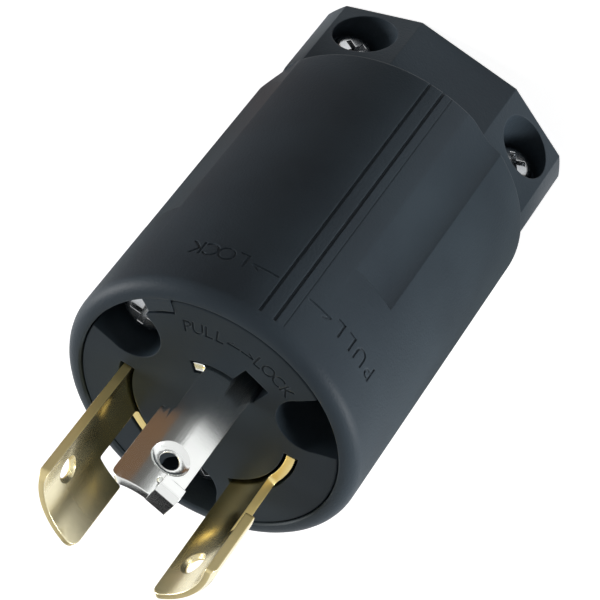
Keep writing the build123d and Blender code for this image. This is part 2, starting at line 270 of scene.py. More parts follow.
def finish_piece(mesh, name, material, nodes):
    """Makes an object in metres that stands for CAD nodes and rides on the plug."""
    close_shape(mesh)
    bmesh.ops.scale(mesh, vec=(MM, MM, MM), verts=mesh.verts)
    piece = to_object(mesh, name)
    piece.data.materials.clear()
    piece.data.materials.append(material)
    piece.data.shade_smooth()
    piece.data.set_sharp_from_angle(angle=radians(SHARP_ANGLE))
    weighted = piece.modifiers.new("flat faces stay flat", "WEIGHTED_NORMAL")
    weighted.keep_sharp = True
    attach(piece, "root")
    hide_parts(*nodes)
    print(f"{name}: {len(piece.data.polygons)} faces")


print("edges sharper than", SHARP_ANGLE, "degrees stay sharp")

# %% [markdown]
# Moulded plastic isn't smooth: the mould was spark-eroded, which leaves a very fine grain, and
# handling leaves the gloss a little uneven. Rolled metal has both too, only finer. They come
# from one node group that each finish uses with its own sizes. A second group finds rounded
# edges, where a surface wears first. A small class keeps the wiring of the nodes short.


# %% Node groups
NOISE_RANGE = (0.35, 0.65)


def new_group(name, inputs, outputs):
    """Empty node group whose inputs and outputs are plain values."""
    group = bpy.data.node_groups.new(name, "ShaderNodeTree")
    for label, value in inputs:
        socket = group.interface.new_socket(label, in_out="INPUT", socket_type="NodeSocketFloat")
        socket.default_value = value
    for label in outputs:
        group.interface.new_socket(label, in_out="OUTPUT", socket_type="NodeSocketFloat")
    return group


class Wiring:
    """Short way to add nodes to a tree and to link them."""

    def __init__(self, tree):
        self.tree = tree

    def add(self, kind, settings=(), **values):
        """Node with its settings, and a value or a link on each input that is named."""
        node = self.tree.nodes.new(kind)
        for key, value in dict(settings).items():
            setattr(node, key, value)
        for key, value in values.items():
            label = key.replace("_", " ")
            if isinstance(value, bpy.types.NodeSocket):
                self.tree.links.new(value, node.inputs[label])
            else:
                node.inputs[label].default_value = value
        return node

    def math(self, operation, one, other=0.0):
        """Result of a Math node on one or two values or sockets."""
        node = self.tree.nodes.new("ShaderNodeMath")
        node.operation = operation
        for index, value in enumerate((one, other)):
            if isinstance(value, bpy.types.NodeSocket):
                self.tree.links.new(value, node.inputs[index])
            else:
                node.inputs[index].default_value = value
        return node.outputs[0]

    def span(self, value, low, high, new_low, new_high):
        """Value carried from one range to another."""
        ends = {"From_Min": low, "From_Max": high, "To_Min": new_low, "To_Max": new_high}
        return self.add("ShaderNodeMapRange", Value=value, **ends).outputs["Result"]

    def link(self, output, socket):
        """Link between two sockets."""
        self.tree.links.new(output, socket)


def edge_mask(wiring, radius):
    """Value that rises where the surface turns within a radius of the point."""
    bent = wiring.add("ShaderNodeBevel", {"samples": 6}, Radius=radius)
    true = wiring.add("ShaderNodeNewGeometry")
    turn = wiring.add("ShaderNodeVectorMath", {"operation": "DOT_PRODUCT"})
    wiring.link(bent.outputs["Normal"], turn.inputs[0])
    wiring.link(true.outputs["Normal"], turn.inputs[1])
    return wiring.span(turn.outputs["Value"], 0.985, 0.85, 0.0, 1.0)


def noise(wiring, scale, detail, roughness):
    """Cloud noise on the object's own coordinates."""
    place = wiring.add("ShaderNodeTexCoord").outputs["Object"]
    texture = wiring.add(
        "ShaderNodeTexNoise", Vector=place, Scale=scale, Detail=detail, Roughness=roughness
    )
    return texture.outputs["Fac"]


def make_grain():
    """Fine grain and uneven gloss of a moulded or rolled surface."""
    sizes = {
        "Grain Scale": 3000.0,
        "Cloud Scale": 90.0,
        "Roughness Low": 0.4,
        "Roughness High": 0.5,
    }
    group = new_group("Surface Grain", sizes.items(), ("Height", "Roughness", "Clouds"))
    w = Wiring(group)
    given = w.add("NodeGroupInput").outputs
    grain = noise(w, given["Grain Scale"], 3.0, 0.6)
    clouds = noise(w, given["Cloud Scale"], 4.0, 0.55)
    gloss = w.span(clouds, 0.3, 0.7, given["Roughness Low"], given["Roughness High"])
    out = w.add("NodeGroupOutput").inputs
    w.link(grain, out["Height"])
    w.link(gloss, out["Roughness"])
    w.link(clouds, out["Clouds"])
    return group


def make_wear():
    """Mask of rounded edges, broken up by noise."""
    group = new_group("Edge Wear", (("Radius", 0.0004), ("Amount", 0.5)), ("Mask",))
    w = Wiring(group)
    given = w.add("NodeGroupInput").outputs
    share = w.span(noise(w, 900.0, 3.0, 0.6), *NOISE_RANGE, 0.35, 1.0)
    masked = w.math("MULTIPLY", edge_mask(w, given["Radius"]), share)
    out = w.add("NodeGroupOutput").inputs
    w.link(w.math("MULTIPLY", masked, given["Amount"]), out["Mask"])
    return group


GRAIN = make_grain()
WEAR = make_wear()
print("node groups:", GRAIN.name, "and", WEAR.name)

# %% [markdown]
# Two functions give all the finishes. A plastic has a dark colour with faint clouds, a little
# lighter on its edges. A metal has full reflection, a colour that drifts a little, and a
# roughness that decides whether it looks polished, satin or plated.
#
# Colours are easiest to judge as screen values, so a small function makes linear ones of them.


# %% Finishes
def start_material(name):
    """Material with its Principled shader and a way to add nodes."""
    material = bpy.data.materials.new(name)
    material.use_nodes = True
    wiring = Wiring(material.node_tree)
    shader = material.node_tree.nodes["Principled BSDF"]
    return material, wiring, shader


def surface(wiring, shader, grain_scale, cloud_scale, low, high, grain_depth, edge, amount):
    """Grain, gloss and edge rounding of a material; gives its clouds and its edge mask."""
    grain = wiring.add(
        "ShaderNodeGroup",
        {"node_tree": GRAIN},
        Grain_Scale=grain_scale,
        Cloud_Scale=cloud_scale,
        Roughness_Low=low,
        Roughness_High=high,
    )
    wear = wiring.add("ShaderNodeGroup", {"node_tree": WEAR}, Radius=edge, Amount=amount)
    rounded = wiring.add("ShaderNodeBevel", {"samples": 6}, Radius=edge * 0.6)
    bump = wiring.add(
        "ShaderNodeBump",
        Strength=1.0,
        Distance=grain_depth,
        Height=grain.outputs["Height"],
        Normal=rounded.outputs["Normal"],
    )
    wiring.link(bump.outputs["Normal"], shader.inputs["Normal"])
    wiring.link(grain.outputs["Roughness"], shader.inputs["Roughness"])
    return grain.outputs["Clouds"], wear.outputs["Mask"]


def colours_of(sockets):
    """The colour sockets among those of a Mix node."""
    return [s for s in sockets if s.type == "RGBA"]


def shade(red, green, blue):
    """Linear colour from one written as screen values from 0 to 255."""

    def linear(part):
        part /= 255
        return part / 12.92 if part <= 0.04045 else ((part + 0.055) / 1.055) ** 2.4

    return (linear(red), linear(green), linear(blue), 1.0)


def tint(wiring, share, one, other):
    """Mix of two colours by a share; each colour is four numbers or a socket."""
    mix = wiring.tree.nodes.new("ShaderNodeMix")
    mix.data_type = "RGBA"
    if isinstance(share, bpy.types.NodeSocket):
        wiring.link(share, mix.inputs[0])
    else:
        mix.inputs[0].default_value = share
    for socket, value in zip(colours_of(mix.inputs), (one, other)):
        if isinstance(value, bpy.types.NodeSocket):
            wiring.link(value, socket)
        else:
            socket.default_value = value
    return colours_of(mix.outputs)[0]


def coloured(name, colour, drift, worn, **sizes):
    """Material whose colour drifts between two tones and takes a third on its edges."""
    material, w, shader = start_material(name)
    clouds, edges = surface(w, shader, **sizes)
    share = w.span(clouds, *NOISE_RANGE, 0.0, 1.0)
    w.link(tint(w, edges, tint(w, share, colour, drift), worn), shader.inputs["Base Color"])
    return material, shader


def plastic(name, colour, light, worn, low=0.42, high=0.52, grain_depth=0.00004):
    """Moulded plastic with faint clouds and edges a little lighter."""
    gloss = {"low": low, "high": high, "grain_scale": 3200.0, "cloud_scale": 70.0}
    wear = {"grain_depth": grain_depth, "edge": 0.00035, "amount": 0.2}
    material, shader = coloured(name, colour, light, worn, **gloss, **wear)
    shader.inputs["Specular IOR Level"].default_value = 0.15
    return material


def metal(name, colour, drift, worn, low, high):
    """Metal whose colour drifts between two values, with brighter edges."""
    gloss = {"low": low, "high": high, "grain_scale": 4500.0, "cloud_scale": 160.0}
    wear = {"grain_depth": 0.000005, "edge": 0.0002, "amount": 0.6}
    material, shader = coloured(name, colour, drift, worn, **gloss, **wear)
    shader.inputs["Metallic"].default_value = 1.0
    return material


HOUSING = plastic("Housing nylon", shade(52, 61, 69), shade(57, 67, 75), shade(86, 96, 105))
INSERT = plastic(
    "Insert nylon", shade(42, 51, 58), shade(47, 56, 63), shade(80, 90, 97), 0.45, 0.56, 0.00002
)
CARRIER = plastic("Carrier plastic", shade(30, 31, 34), shade(36, 37, 40), shade(60, 62, 66))
BRASS = metal(
    "Stamped brass", shade(230, 214, 154), shade(206, 186, 124), shade(246, 238, 204), 0.15, 0.23
)
NICKEL = metal(
    "Nickel plate", shade(234, 236, 234), shade(224, 226, 224), shade(252, 252, 250), 0.17, 0.25
)
ZINC = metal(
    "Zinc plated screw",
    shade(200, 202, 204),
    shade(172, 176, 180),
    shade(240, 242, 244),
    0.16,
    0.32,
)
TURNED_BRASS = metal(
    "Turned brass", shade(206, 180, 120), shade(190, 162, 100), shade(236, 220, 170), 0.25, 0.4
)
print("finishes:", len(bpy.data.materials))

# %% [markdown]
# A brass blade isn't the same all over. The punch leaves its sides duller than the rolled faces,
# and their darker gold is painted shade. The socket rubs its tip hazier, and the tip's paler, less
# metallic colour is partly that rubbing and partly a painted highlight. Both are changes on top of
# the brass: a share from 0 to 1 says where, and the colour and the roughness follow it. The rolled
# faces look along a radius, so a side is where the surface's direction and the radius don't agree.


# %% Sheared sides and rubbed tips, with painted shade and a painted highlight
def rework(w, shader, share, strength, colour, extra):
    """Mixes a colour into a finish and roughens it, as far as a share over the surface says."""
    base, roughness = shader.inputs["Base Color"], shader.inputs["Roughness"]
    w.link(tint(w, w.math("MULTIPLY", share, strength), base.links[0].from_socket, colour), base)
    more = w.math("MULTIPLY", share, extra)
    w.link(w.math("ADD", roughness.links[0].from_socket, more), roughness)


def sides_dulled_and_shaded(material, colour, extra):
    """Dulls the sheared sides, which don't face along a radius, and darkens their gold as painted
    shade.
    """
    w = Wiring(material.node_tree)
    shader = material.node_tree.nodes["Principled BSDF"]
    place = w.add("ShaderNodeTexCoord").outputs
    level = w.add("ShaderNodeVectorMath", {"operation": "MULTIPLY"})
    level.inputs[1].default_value = (1, 1, 0)
    w.link(place["Object"], level.inputs[0])
    radial = w.add("ShaderNodeVectorMath", {"operation": "NORMALIZE"})
    w.link(level.outputs["Vector"], radial.inputs[0])
    across = w.add("ShaderNodeVectorMath", {"operation": "DOT_PRODUCT"})
    w.link(radial.outputs["Vector"], across.inputs[0])
    w.link(place["Normal"], across.inputs[1])
    side = w.span(w.math("ABSOLUTE", across.outputs["Value"]), 0.3, 0.6, 1.0, 0.0)
    rework(w, shader, side, 0.7, colour, extra)


def tips_rubbed_and_highlighted(material, colour, extra):
    """Makes a blade's tip hazier, and paler and less metallic: partly rubbing, partly a painted
    highlight.
    """
    w = Wiring(material.node_tree)
    shader = material.node_tree.nodes["Principled BSDF"]
    place = w.add("ShaderNodeTexCoord").outputs["Object"]
    height = w.add("ShaderNodeSeparateXYZ", Vector=place).outputs["Z"]
    rubbed_and_highlit = w.span(height, (FACE + 8) * MM, (FACE + 16) * MM, 0.0, 1.0)
    rework(w, shader, rubbed_and_highlit, 0.55, colour, extra)
    w.link(w.span(rubbed_and_highlit, 0.0, 1.0, 1.0, 0.7), shader.inputs["Metallic"])


# Paler, less metallic tips: partly rubbing, partly a painted highlight.
tips_rubbed_and_highlighted(BRASS, shade(252, 249, 226), 0.04)
# Darker gold on the sheared sides is painted shade; their added roughness is real dullness.
sides_dulled_and_shaded(BRASS, shade(226, 205, 140), 0.24)
print("nodes in the brass:", len(BRASS.node_tree.nodes))

# %% [markdown]
# Raised or sunk lettering on a moulding is cut into the mould. Blender's text curves give the
# letters: each one is made a mesh, set to its height, and used as a cutter that sinks it into
# the surface. A half arrow is a bar with one barb.


# %% Letters
LETTER_DEPTH = 0.16
FACE_LETTER_DEPTH = 0.15
REACH = 0.5


def letter(character, height):
    """One letter as a closed solid, its foot at y = 0, in millimetres."""
    curve = bpy.data.curves.new("letter", "FONT")
    curve.body = character
    curve.extrude = REACH
    curve.resolution_u = 3
    text = bpy.data.objects.new("letter", curve)
    bpy.context.scene.collection.objects.link(text)
    bpy.context.view_layer.update()
    mesh = bmesh.new()
    mesh.from_mesh(bpy.data.meshes.new_from_object(text))
    bpy.data.objects.remove(text)
    close_shape(mesh)
    low = Vector((min(v.co.x for v in mesh.verts), min(v.co.y for v in mesh.verts), 0))
    high = Vector((max(v.co.x for v in mesh.verts), max(v.co.y for v in mesh.verts), 0))
    size = height / (high.y - low.y)
    bmesh.ops.translate(mesh, verts=mesh.verts, vec=(-(low.x + high.x) / 2, -low.y, 0))
    bmesh.ops.scale(mesh, vec=(size, size, 1), verts=mesh.verts)
    return mesh


def half_arrow(length, height, side, stroke=0.28):
    """Bar with one barb, which points along side times X."""
    half = stroke / 2
    tip = side * length / 2
    back = tip - side * height * 1.6
    shaft = raised(oblong(-length / 2, length / 2, -half, half), -REACH, REACH)
    barb = raised(
        ((tip, -half), (tip, half), (back, height + half), (back, height - half)), -REACH, REACH
    )
    return join(shaft, barb)


print("letter depth", LETTER_DEPTH)

# %% [markdown]
# The cover is one moulding: a barrel with a rounded rim, a tail cut to eight flats that takes
# the cord clamp, two scallops and two flats for the fingers, and a rib between two grooves that
# marks the top. The barrel is turned, the tail is raised from its outline, and everything else
# is cut. A scallop is a strip bent down from its chord, gently at one edge and steeply at the
# other, so that the fingertip has a side to push on. A flat is the same strip left straight. A
# third line beside the rib is so faint that it only shows in a raking light.

# %% Cover
TAIL_OUTLINE = (
    (-17.9, -8.8),
    (-7.2, -14.85),
    (7.2, -14.85),
    (17.9, -8.8),
    (17.9, 8.8),
    (7.2, 14.85),
    (-7.2, 14.85),
    (-17.9, 8.8),
)
SCALLOPS = ((-13.0, -32.5), (167.0, 147.5))
FLATS = ((86.5, 60.0), (266.5, 240.0))
GRIP_FRONT = RIM - 15.3
GRIP_SLICES = 24
GROOVES = (-1.2, 4.6)
GROOVE_FRONT = RIM - 1.7
CAVITY_RADIUS = 16.3
FLOOR = 14.5
SCREW_TURNS = (70.5, -169.5, -49.5)
SCREW_CIRCLE = 13.4
CARRIER_BOTTOM = cad_size("terminal_carrier")[0].z


def grip_cutter(start_turn, end_turn, gentle, steep):
    """Cutter whose floor leaves its chord by a gentle slope and comes back by a steep one."""
    start, end = spot(start_turn, BARREL_RADIUS), spot(end_turn, BARREL_RADIUS)
    outwards = (start + end).normalized()
    mesh = bmesh.new()
    rear, front = STEP - 1, GRIP_FRONT
    corners = ((start, rear), (end, rear), (end, front), (start, front))
    floor = mesh.faces.new([mesh.verts.new((p.x, p.y, z)) for p, z in corners])
    across = [e for e in floor.edges if abs(e.verts[0].co.z - e.verts[1].co.z) < 0.01]
    bmesh.ops.subdivide_edges(mesh, edges=across, cuts=GRIP_SLICES - 1, use_grid_fill=True)
    shares = {}
    for v in mesh.verts:
        t = (Vector((v.co.x, v.co.y, 0)) - start).length / (end - start).length
        shares[v] = t
        v.co -= outwards * (gentle * t * (1 - t) ** 2 + steep * t * t * (1 - t))
    top = bmesh.ops.extrude_face_region(mesh, geom=mesh.faces[:])
    for v in top["geom"]:
        if isinstance(v, bmesh.types.BMVert):
            below = min(shares, key=lambda old: (old.co - v.co).length)
            turn = start_turn + (end_turn - start_turn) * shares[below]
            v.co = spot(turn, BARREL_RADIUS + 1.5, v.co.z)
    return close_shape(mesh)


def groove(first, last, depth):
    """Cutter for a groove along the barrel, between two turns."""
    inner, outer = BARREL_RADIUS - depth, BARREL_RADIUS + 1
    return ring_block(inner, outer, first, last, STEP - 1, GROOVE_FRONT)


barrel = turned(
    ((0, STEP), (BARREL_RADIUS, STEP), (BARREL_RADIUS, RIM), (0, RIM)),
    rounds=((1, 0.4), (2, 1.9)),
)
barrel = cut(barrel, *(grip_cutter(start, end, 0.3, 3.0) for start, end in SCALLOPS))
barrel = cut(barrel, *(grip_cutter(start, end, 0, 0) for start, end in FLATS))
barrel = cut(barrel, *(groove(turn - 0.52, turn + 0.52, 0.4) for turn in GROOVES))
barrel = cut(barrel, groove(-5.1, -4.8, 0.04))
print("barrel:", len(barrel.faces), "faces")

# %% [markdown]
# The tail has its end edge broken before it joins the barrel. Then the inside is taken out: a
# turned tool for the cord's hole, the wiring space and the mouth, and a box for the clamp. The
# box's ends stand a little off the turned tool's, because a Boolean can trip over faces that
# lie in one plane. The two counterbores come in from the slanted flats.

# %% Tail
TAIL_RADIUS = 19.1
CORD_RADIUS = 6.5
CLAMP_AXIS = 12.2
CLAMP_HEIGHT = 4.9
CLAMP_SEAT = 6.6


def break_edges(mesh, edges, width, segments=3):
    """Bevels the edges that a tool or a mould leaves broken."""
    bmesh.ops.bevel(
        mesh,
        geom=edges,
        offset=width,
        segments=segments,
        profile=0.5,
        affect="EDGES",
        material=-1,
    )


def clamp_frame(side):
    """Frame on a clamp screw's seat, its Z towards the screw's head."""
    return Matrix.Translation((side * CLAMP_AXIS, -CLAMP_SEAT, CLAMP_HEIGHT)) @ rotation(90, "X")


tail = raised(TAIL_OUTLINE, 0, STEP)
tail = combine(tail, round_bar(TAIL_RADIUS, -1, STEP + 1, STEPS), "INTERSECT")
close_shape(tail)
end_edges = [e for e in tail.edges if all(v.co.z < 0.01 for v in e.verts)]
break_edges(tail, [e for e in end_edges if e.calc_face_angle(0) > 0.5], 0.4)
tail = join(tail, barrel)
inside = turned(
    (
        (0, -1),
        (CORD_RADIUS + 0.5, -1),
        (CORD_RADIUS + 0.5, 2.2),
        (CORD_RADIUS, 2.2),
        (CORD_RADIUS, FLOOR),
        (CAVITY_RADIUS, FLOOR),
        (CAVITY_RADIUS, LEDGE),
        (BORE_RADIUS, LEDGE),
        (BORE_RADIUS, RIM - 0.2),
        (BORE_RADIUS + 0.2, RIM),
        (BORE_RADIUS + 0.2, RIM + 1),
        (0, RIM + 1),
    ),
)
chamber = raised(oblong(-15.4, 15.4, -4.3, 8.6), 2.25, FLOOR + 0.3)
tail = cut(tail, inside, chamber)
for side in (-1, 1):
    counterbore = placed(round_bar(3.7, 0, 20), clamp_frame(side))
    way = placed(round_bar(1.95, -4, 1, 48), clamp_frame(side))
    tail = cut(tail, counterbore, way)
print("tail:", len(tail.faces), "faces")

# %% [markdown]
# Inside, three bosses take the brass bushes, and a small key at the mouth turns the insert with
# the cover. Last come the words that tell the hand which way locks and which way lets go.

# %% Bosses, key and words
BOSS_RADIUS = 3.5
BUSH_RADIUS = 2.7
BORE_BELOW = 2.2
KEY = (15.3, 17.3, 38.5, 51.5)
for turn in SCREW_TURNS:
    boss = turned(
        (
            (BUSH_RADIUS, CARRIER_BOTTOM - 8),
            (BUSH_RADIUS, CARRIER_BOTTOM),
            (BOSS_RADIUS, CARRIER_BOTTOM),
            (BOSS_RADIUS, FLOOR - 1),
            (0, FLOOR - 1),
            (0, CARRIER_BOTTOM - 9),
            (BORE_BELOW, CARRIER_BOTTOM - 9),
            (BORE_BELOW, CARRIER_BOTTOM - 8),
        ),
        steps=48,
    )
    tail = join(tail, placed(boss, upright(turn, SCREW_CIRCLE, 0)))
tail = join(tail, ring_block(*KEY, RIM - 3.0, RIM - 0.1))

COVER_WORDS = (
    (("P", -39.6), ("U", -33.0), ("L", -26.4), ("L", -20.4)),
    (("L", 20.0), ("O", 26.0), ("C", 31.6), ("K", 37.6)),
)
COVER_ARROWS = ((-11.3, -1), (11.2, 1))
WORD_FOOT = RIM - 8.2
ARROW_HEIGHT = RIM - 7.2
CUTTER_RADIUS = BARREL_RADIUS + REACH - LETTER_DEPTH
for word in COVER_WORDS:
    for character, turn in word:
        tail = cut(tail, placed(letter(character, 2.1), facing(turn, CUTTER_RADIUS, WORD_FOOT)))
for turn, side in COVER_ARROWS:
    shape = half_arrow(3.4, 0.65, side)
    tail = cut(tail, placed(shape, facing(turn, CUTTER_RADIUS, ARROW_HEIGHT)))
finish_piece(tail, "cover_moulding", HOUSING, nodes=["cover"])

# %% [markdown]
# The insert is a disc with a slot for each blade, a window beside the earth blade, and three
# recesses for the screws that open towards the rim. A notch takes the cover's key.

# %% Insert
LINE_CIRCLE = 10.4
EARTH_CIRCLE = 6.6
BLADES = {
    "line_blade_1": (LINE_CIRCLE, 98.0, 161.0),
    "line_blade_2": (LINE_CIRCLE, -140.5, -78.0),
    "earth_blade": (EARTH_CIRCLE, -25.0, 36.0),
}
BLADE_THICKNESS = 1.2
SLOT_GAP = 0.35
WINDOW = oblong(-1.65, 1.65, -1.85, 1.85)
NOTCH = (14.85, 19, 38.2, 57.5)
RECESS_RADIUS = 3.9
RECESS_DEPTH = 6.1

disc = turned(
    ((0, LEDGE), (INSERT_RADIUS, LEDGE), (INSERT_RADIUS, FACE), (0, FACE)),
    rounds=((2, 0.3),),
)
for inner, first, last in BLADES.values():
    outer = inner + BLADE_THICKNESS
    gap = degrees(SLOT_GAP / outer)
    slot = (inner - SLOT_GAP, outer + SLOT_GAP, first - gap, last + gap)
    disc = cut(disc, ring_block(*slot, LEDGE - 1, FACE + 1))
window = raised(WINDOW, LEDGE - 1, FACE + 1)
disc = cut(disc, placed(window, upright(-14.5, 9.05, 0)))
mouth_outline = ((0, -RECESS_RADIUS), (8, -5.4), (8, 5.4), (0, RECESS_RADIUS))
for turn in SCREW_TURNS:
    bottom = LEDGE - 1 if turn == SCREW_TURNS[-1] else FACE - RECESS_DEPTH
    pocket = round_bar(RECESS_RADIUS, bottom, FACE + 1, 72)
    mouth = raised(mouth_outline, bottom, FACE + 1)
    pocket = join(pocket, mouth, round_bar(BORE_BELOW, LEDGE - 1, FACE, 32))
    disc = cut(disc, placed(pocket, upright(turn, SCREW_CIRCLE, 0)))
disc = cut(disc, ring_block(*NOTCH, FACE - 3.25, FACE + 1))
print("insert:", len(disc.faces), "faces")

# %% [markdown]
# The face repeats the words on an arc just inside the rim. Each letter stands on its own turn,
# with its head outwards, so a loop over letters and turns sets the whole line.

# %% Words on the face
FACE_WORDS = (
    (("P", 33.0), ("U", 27.4), ("L", 21.2), ("L", 15.2)),
    (("L", -7.4), ("O", -13.4), ("C", -20.0), ("K", -27.4)),
)
FACE_ARROWS = ((7.6, -1), (-0.6, 1))


def on_face(turn, radius):
    """Frame for a cutter on the face: X runs clockwise and Y points outwards."""
    place = spot(turn, radius, FACE + REACH - FACE_LETTER_DEPTH)
    return Matrix.Translation(place) @ rotation(turn - 180, "Z")


for word in FACE_WORDS:
    for character, turn in word:
        disc = cut(disc, placed(letter(character, 1.7), on_face(turn, 12.6)))
for turn, side in FACE_ARROWS:
    disc = cut(disc, placed(half_arrow(1.7, 0.5, side, stroke=0.2), on_face(turn, 13.2)))
finish_piece(disc, "insert_moulding", INSERT, nodes=["insert"])

# %% [markdown]
# A blade is stamped from strip, coined along its tip and then rolled to the circle of the
# socket. The script does the same: the outline is raised flat, its edges are broken, the hole
# is sunk from both sides, and the strip is sliced so finely that it can be rolled by moving its
# points.


# %% Blade blanks
STRIP_HALF = 3.3
STRIP_END = 37.4
TERMINAL_HEIGHT = 41.6
SHOULDER_TURN = 5
SLICE = 0.35


def circle_of(name):
    """Inner radius of a blade, the turn of its middle and the mean radius of its roll."""
    inner, first, last = BLADES[name]
    return inner, (first + last) / 2, inner + BLADE_THICKNESS / 2


def blade_blank(name, neck, tail_turn, tip, hook_rear, tip_rounds):
    """Flat blade: X along the turn from its middle, Y through its thickness, Z up."""
    first, last = BLADES[name][1:]
    middle, mean = circle_of(name)[1:]

    def across(turn):
        return radians(turn - middle) * mean

    tail_centre = across(tail_turn)
    shoulder = LEDGE - 1.5
    spread = radians(SHOULDER_TURN) * mean
    outline = (
        (tail_centre - STRIP_HALF, STRIP_END),
        (tail_centre + STRIP_HALF, STRIP_END),
        (tail_centre + STRIP_HALF, shoulder),
        (across(last) + spread, shoulder),
        (across(last) + spread, LEDGE),
        (across(last), LEDGE),
        (across(last), RIM - 0.3),
        (across(neck), RIM - 0.3),
        (across(neck), RIM + hook_rear),
        (across(last), RIM + hook_rear),
        (across(last), tip),
        (across(first), tip),
        (across(first), LEDGE),
        (across(first) - spread, LEDGE),
        (across(first) - spread, shoulder),
        (tail_centre - STRIP_HALF, shoulder),
    )
    tail_rounds = ((0, 0.8), (1, 0.8))
    hook_rounds = ((7, 0.6), (8, 0.25), (9, 0.4))
    tip_corners = ((10, tip_rounds[1]), (11, tip_rounds[0]))
    blank = raised(outline, 0, BLADE_THICKNESS, tail_rounds + hook_rounds + tip_corners)
    level = [e for e in blank.edges if abs(e.verts[0].co.z - e.verts[1].co.z) < 0.01]
    break_edges(blank, [e for e in level if e.calc_face_angle(0) > 0.7], 0.12)
    placed(blank, Matrix(((1, 0, 0, 0), (0, 0, 1, 0), (0, 1, 0, 0), (0, 0, 0, 1))))
    bmesh.ops.recalc_face_normals(blank, faces=blank.faces)
    return blank, tail_centre


def through(x, height):
    """Frame for a hole through a flat blade."""
    return Matrix.Translation((x, 0, height)) @ rotation(-90, "X")


def sunk_hole(x, height):
    """Cutter for the hole near the tip, dished from both sides."""
    outer = BLADE_THICKNESS
    hole = turned(
        (
            (0, -1),
            (1.75, -1),
            (1.75, -0.02),
            (1.5, 0.12),
            (1.2, 0.4),
            (1.2, outer - 0.6),
            (1.4, outer - 0.59),
            (1.65, outer - 0.53),
            (1.86, outer - 0.42),
            (2.02, outer - 0.27),
            (2.13, outer - 0.1),
            (2.2, outer + 0.02),
            (2.2, 3),
            (0, 3),
        ),
        steps=72,
    )
    return placed(hole, through(x, height))


def terminal_hole(x):
    """Cutter for the terminal screw's hole in the tail."""
    return placed(round_bar(2.0, -1, 3, 40), through(x, TERMINAL_HEIGHT))


def coining(tip):
    """Wedge that thins the outer edge of a flat blade's tip."""
    edge = BLADE_THICKNESS
    high, low = tip + 0.1, tip - 1.1
    outline = ((edge - 0.5, high), (edge + 0.1, low), (edge + 1, low), (edge + 1, high))
    turn_over = Matrix(((0, 0, 1, 0), (1, 0, 0, 0), (0, 1, 0, 0), (0, 0, 0, 1)))
    return close_shape(placed(raised(outline, -20, 20), turn_over))


def roll(blank, name):
    """Slices the blank along its height and rolls it to its circle."""
    inner, middle, mean = circle_of(name)
    low = min(v.co.x for v in blank.verts)
    high = max(v.co.x for v in blank.verts)
    slices = round((high - low) / SLICE)
    for step in range(1, slices):
        x = low + (high - low) * step / slices
        bmesh.ops.bisect_plane(
            blank,
            geom=blank.verts[:] + blank.edges[:] + blank.faces[:],
            dist=0.0005,
            plane_co=(x, 0, 0),
            plane_no=(1, 0, 0),
        )
    for v in blank.verts:
        v.co = spot(middle + degrees(v.co.x / mean), inner + v.co.y, v.co.z)
    return close_shape(blank)


for name, (inner, first, last) in BLADES.items():
    flat_width = radians(last - first) * (inner + BLADE_THICKNESS / 2)
    print(name, "is", round(flat_width, 1), "mm wide before rolling")

# %% [markdown]
# The two line blades differ in the width of the neck, in the height of the hook and in the
# corners of the tip, so that they only fit the socket one way. One function makes both. The
# outer edge of each tip is coined thin, which leads it into the socket.

# %% Line blades
LINE_TIP = cad_size("line_blade_1")[1].z
EARTH_TIP = cad_size("earth_blade")[1].z


def line_blade(name, neck, tail_turn, hook_rear, hole_up, tip_rounds):
    """One rolled line blade with its hole."""
    blank, x = blade_blank(name, neck, tail_turn, LINE_TIP, hook_rear, tip_rounds)
    blank = cut(blank, coining(LINE_TIP), sunk_hole(x, RIM + hole_up), terminal_hole(x))
    finish_piece(roll(blank, name), name + "_stamping", BRASS, nodes=[name])


line_blade("line_blade_1", 136.0, 118.0, 8.3, 14.1, (1.2, 1.5))
line_blade("line_blade_2", -107.0, -123.5, 9.4, 14.0, (1.2, 0.4))

# %% [markdown]
# The earth blade is on a smaller circle and plated. A tab at its tip is bent inwards to lead it
# into the socket: a strip with a rounded bend joins the rolled blade, where the blade under it
# is cut back. The tab's free corner is rounded in plan.

# %% Earth blade
TAB_WIDTH = 2.85
TAB_REACH = 3.5
TAB_TOP = EARTH_TIP - 1.5
outer = EARTH_CIRCLE + BLADE_THICKNESS
blank, x = blade_blank("earth_blade", 23.5, 0.0, EARTH_TIP, 7.2, (0.4, 1.4))
blank = cut(blank, sunk_hole(x, RIM + 13.5), terminal_hole(x))
earth = roll(blank, "earth_blade")
relief = placed(round_bar(0.5, -2, 2, 32), facing(-4.2, outer, TAB_TOP - 0.9))
earth = cut(earth, ring_block(5, 9, -32, -3.4, TAB_TOP - 1.0, EARTH_TIP + 1), relief)
tab = raised(
    (
        (0, -2.0),
        (0, 0),
        (-TAB_REACH, 0),
        (-TAB_REACH, -BLADE_THICKNESS),
        (-BLADE_THICKNESS, -BLADE_THICKNESS),
        (-BLADE_THICKNESS, -2.0),
    ),
    -TAB_WIDTH / 2,
    TAB_WIDTH / 2,
    rounds=((1, 1.0), (2, 0.12), (4, 0.25)),
)
free_end = [e for e in tab.edges if all(v.co.x < 0.01 - TAB_REACH for v in e.verts)]
corner = [e for e in free_end if abs(e.verts[0].co.z + e.verts[1].co.z + TAB_WIDTH) < 0.01]
break_edges(tab, corner, 0.5, segments=4)
tab_frame = upright(-9.0, outer, TAB_TOP) @ Matrix.Translation((0, -0.86, 0)) @ rotation(90, "X")
earth = join(earth, placed(tab, tab_frame))
finish_piece(earth, "earth_blade_stamping", NICKEL, nodes=["earth_blade"])

# %% [markdown]
# Each screw is turned, and its head gets a cross recess from a tapered cross. The heads are all
# that shows, so they are rounded finely.


